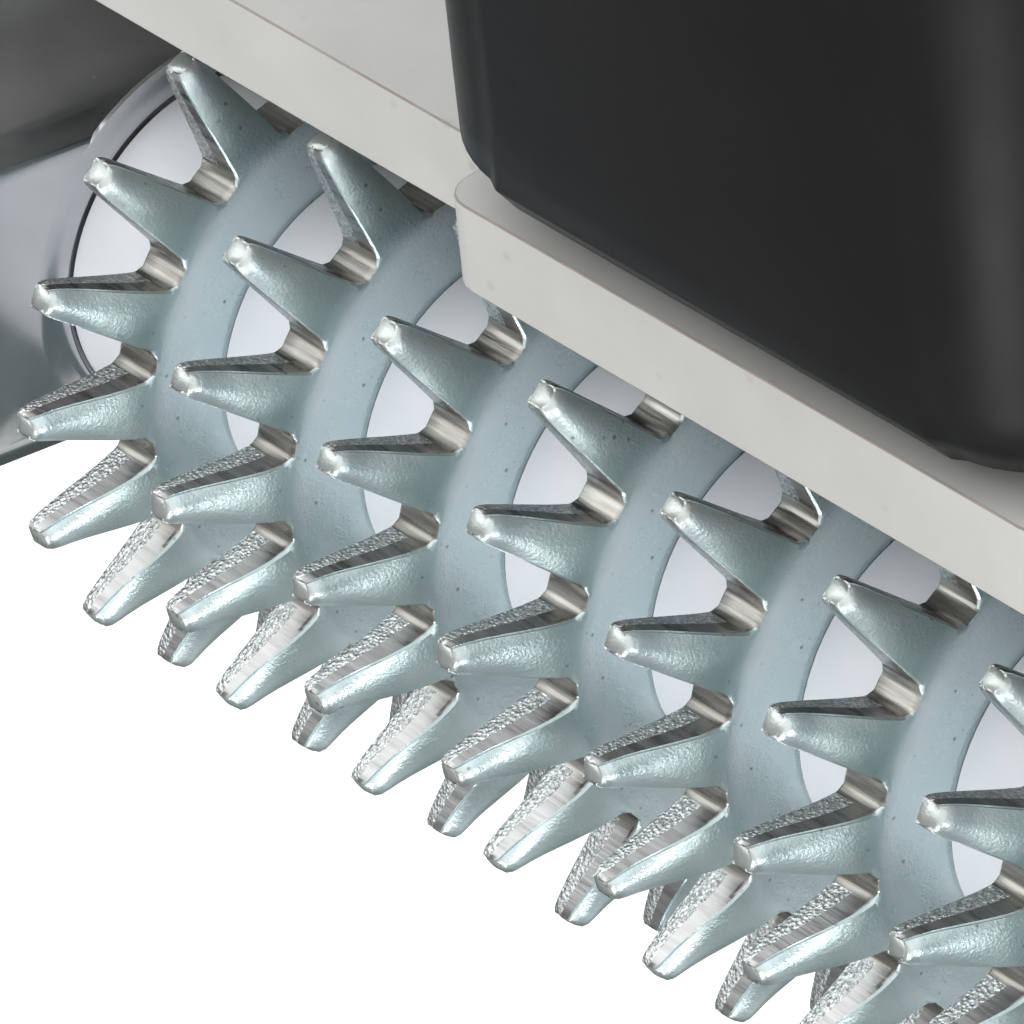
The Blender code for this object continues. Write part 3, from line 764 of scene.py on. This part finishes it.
def make_posts(material):
    for side, name in SIDES:
        low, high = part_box("end_post_" + name)
        straight = high.z - low.z - FOOT - CROWN
        heights = [(low.z, FOOT), (low.z + FOOT, 0.0)]
        heights += [(low.z + FOOT + straight * step / POST_STEPS, 0.0) for step in range(1, POST_STEPS + 1)]
        for step in range(1, CROWN_STEPS + 1):
            angle = math.radians(90.0 * step / CROWN_STEPS)
            heights.append((high.z - CROWN + CROWN * math.sin(angle), CROWN * (1 - math.cos(angle))))
        loops = []
        for z, inset in heights:
            shift = POST_LEAN * (z - AXIS_Z)
            loops.append([Vector((side * (POST_X + x), y + shift, z)) for x, y in post_section(inset)])
        post = link("post_detail_" + name, loft(loops), [material], 50.0)
        place(post, "handle", "end_post_" + name, "polished_steel")


def make_lips(material):
    """The rolled lip around the drum's end on each post's flat."""
    inner = SPACER_R + LIP_GAP
    profile = [(FLAT_X + LIP_SUNK, inner), (FLAT_X - LIP_RISE * 0.1, inner)]
    for step in range(1, LIP_STEPS):
        part = step / LIP_STEPS
        height = LIP_RISE * smooth((1 - part) / (1 - LIP_CREST))
        if part < LIP_CREST:
            height = LIP_RISE * math.sqrt(1 - ((LIP_CREST - part) / LIP_CREST) ** 2)
        profile.append((FLAT_X - height, inner + LIP_WIDTH * part))
    profile += [(FLAT_X, inner + LIP_WIDTH), (FLAT_X + LIP_SUNK, inner + LIP_WIDTH)]
    for side, name in SIDES:
        lip = link("post_lip_" + name, turned([(side * x, r) for x, r in profile], 128), [material], 60.0)
        place(lip, "handle", "thrust_washer_" + name, "polished_steel", (0, 0, AXIS_Z))


# ---------------------------------------------------------------- axle screws

SCREW_SEGMENTS = 48
HEAD_HEIGHT = 2.4 * MM
HEAD_RIM = 0.8 * MM             # straight part of the head's side
HEAD_DOME = 1.6 * MM            # height of the dome above it
HEAD_TAPER = 1.9 * MM           # how far the dome draws in
DOME_STEPS = 6
HEAD_CHAMFER = 0.15 * MM
SHANK_R = 1.4 * MM
SHANK_END_R = 0.9 * MM
SHANK_TAPER = 0.5 * MM
SOCKET_HALF = 1.35 * MM         # half the distance across the socket's flats
SOCKET_DEPTH = 1.5 * MM
SOCKET_CHAMFER = 0.12 * MM


def screw_rows(end, outer, radius):
    """The screw from its shank's end to its socket's floor, as loops of (x, radius)."""
    seat = outer - HEAD_HEIGHT
    levels = [(end, SHANK_END_R), (end + SHANK_TAPER, SHANK_R), (seat, SHANK_R)]
    levels += [(seat, radius - HEAD_CHAMFER), (seat + HEAD_CHAMFER, radius), (seat + HEAD_RIM, radius)]
    for step in range(1, DOME_STEPS + 1):
        angle = math.radians(90 * step / DOME_STEPS)
        drawn_in = HEAD_TAPER * (1 - math.cos(angle))
        levels.append((seat + HEAD_RIM + HEAD_DOME * math.sin(angle), radius - drawn_in))
    rows = [[level] * SCREW_SEGMENTS for level in levels]
    turns = [math.radians((360.0 * step / SCREW_SEGMENTS) % 60 - 30) for step in range(SCREW_SEGMENTS)]
    hexagon = [SOCKET_HALF / math.cos(turn) for turn in turns]
    rows.append([(outer, r + SOCKET_CHAMFER) for r in hexagon])
    rows.append([(outer - SOCKET_CHAMFER, r) for r in hexagon])
    rows.append([(outer - SOCKET_DEPTH, r) for r in hexagon])
    return rows


def make_axle_screws(material):
    """Button heads with a hexagon socket."""
    for side, name in SIDES:
        low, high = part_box("axle_screw_" + name)
        ends = sorted((abs(low.x), abs(high.x)))
        loops = []
        for row in screw_rows(*ends, (high.z - low.z) / 2):
            angles = [math.tau * step / SCREW_SEGMENTS for step in range(SCREW_SEGMENTS)]
            loops.append([(side * x, r * math.cos(a), r * math.sin(a)) for a, (x, r) in zip(angles, row)])
        screw = link("axle_screw_detail_" + name, loft(loops), [material], 35.0)
        place(screw, "handle", "axle_screw_" + name, "dark_screws", (0, 0, AXIS_Z))


# ---------------------------------------------------------------- grip

# (distance back from the drum's axis, half width, height, top corner radius) in mm
GRIP_STATIONS = ((15.0, 10.6, 21.5, 2.6), (15.4, 11.6, 22.5, 3.4), (16.4, 12.3, 23.2, 4.2),
                 (18.5, 12.6, 23.4, 5.0), (26.0, 12.6, 23.4, 5.2), (36.0, 12.4, 23.0, 7.0),
                 (48.0, 12.2, 22.4, 8.0), (62.0, 13.2, 22.8, 8.5), (78.0, 14.6, 24.0, 8.5),
                 (94.0, 14.8, 24.1, 8.5), (108.0, 13.8, 23.1, 8.5), (124.0, 12.6, 21.6, 8.5))
GRIP_BOW = 0.5                  # how far the front end's outer corners stand back, in mm
BOW_UP_TO = 27.0
GRIP_CROWN = 0.35               # how far the top arches, in mm
LOW_CORNER = 2.5
CORNER_STEPS = 14
SHORT_SPAN = 4.0                # stations closer than this are joined straight
LOOP_SPACING = 1.2
FEWEST_LOOPS = 2
MOST_LOOPS = 8


def between(first, second, third, fourth, t):
    """Catmull-Rom value between the second and third of four values."""
    slope_a = (third - first) / 2
    slope_b = (fourth - second) / 2
    rise = second - third
    return ((2 * rise + slope_a + slope_b) * t ** 3 + (-3 * rise - 2 * slope_a - slope_b) * t ** 2
            + slope_a * t + second)


def grip_section(along, half, top, corner, bow):
    """One loop across the grip: a rounded box with a low crown."""
    corners = ((half - LOW_CORNER, LOW_CORNER, LOW_CORNER, -90), (half - corner, top - corner, corner, 0),
               (corner - half, top - corner, corner, 90), (LOW_CORNER - half, LOW_CORNER, LOW_CORNER, 180))
    points = []
    for centre_x, centre_z, radius, start in corners:
        for step in range(CORNER_STEPS + 1):
            angle = math.radians(start + 90 * step / CORNER_STEPS)
            x = centre_x + radius * math.cos(angle)
            z = centre_z + radius * math.sin(angle)
            lift = GRIP_CROWN * (1 - (x / half) ** 2) if z > top - 0.01 else 0.0
            back = along + bow * (x / half) ** 2
            points.append(Vector((x, -back, z + lift - GRIP_CROWN * (z / top) ** 4)) * MM)
    return points


def make_grip(material):
    """The grip in smooth sections, with its front rounded into the housing's wall."""
    last = len(GRIP_STATIONS) - 1
    loops = []
    for index in range(last):
        near = [GRIP_STATIONS[min(max(index + shift, 0), last)] for shift in (-1, 0, 1, 2)]
        here, there = near[1:3]
        length = there[0] - here[0]
        steps = max(FEWEST_LOOPS, min(MOST_LOOPS, int(length / LOOP_SPACING)))
        for step in range(steps):
            t = step / steps
            if length < SHORT_SPAN:
                values = [start + (end - start) * t for start, end in zip(here, there)]
            else:
                values = [here[0] + length * t] + [between(*four, t) for four in list(zip(*near))[1:]]
            loops.append(grip_section(*values, GRIP_BOW if values[0] < BOW_UP_TO else 0.0))
    loops.append(grip_section(*GRIP_STATIONS[-1], 0.0))
    grip = link("grip_detail", loft(loops), [material], 70.0)
    place(grip, "handle", "grip", "black_grip")


# ---------------------------------------------------------------- the whole

def paint(nodes, material):
    """CAD nodes that keep their shape get their finish."""
    for node in nodes:
        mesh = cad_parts[node].data
        mesh.materials.clear()
        mesh.materials.append(material)


def main():
    make_camera()
    make_world()
    make_lights()
    make_floor()
    zinc = zinc_material()
    sheared = sheared_material()
    fractured = fractured_material()
    core = core_material()
    steel = steel_material()
    housing = housing_material()
    edge = edge_material()
    screws = screw_material()
    bronze = bronze_material()
    grip = black_material("black_grip", (0.007, 0.0066, 0.007), 0.32, 0.46, 900.0)
    cap = black_material("black_cap", (0.015, 0.015, 0.016), 0.5, 0.62, 1600.0)
    make_rings([zinc, sheared, fractured])
    make_sleeves(core)
    bevelled_copy("head_housing", [housing, edge], 0.12 * MM, "pale_housing")
    make_posts(steel)
    make_lips(steel)
    make_axle_screws(screws)
    make_grip(grip)
    paint(("drum_axle", "drum_sleeve", "handle_tang", "tang_foot_plate"), steel)
    paint(("drum_bush_left", "drum_bush_right"), bronze)
    paint(("post_screw_left", "post_screw_right", "tang_screw_left", "tang_screw_right",
           "grip_screw_front", "grip_screw_back"), screws)
    bevelled_copy("grip_end_cap", [cap], 0.4 * MM, "black_cap", angle=50.0)


main()
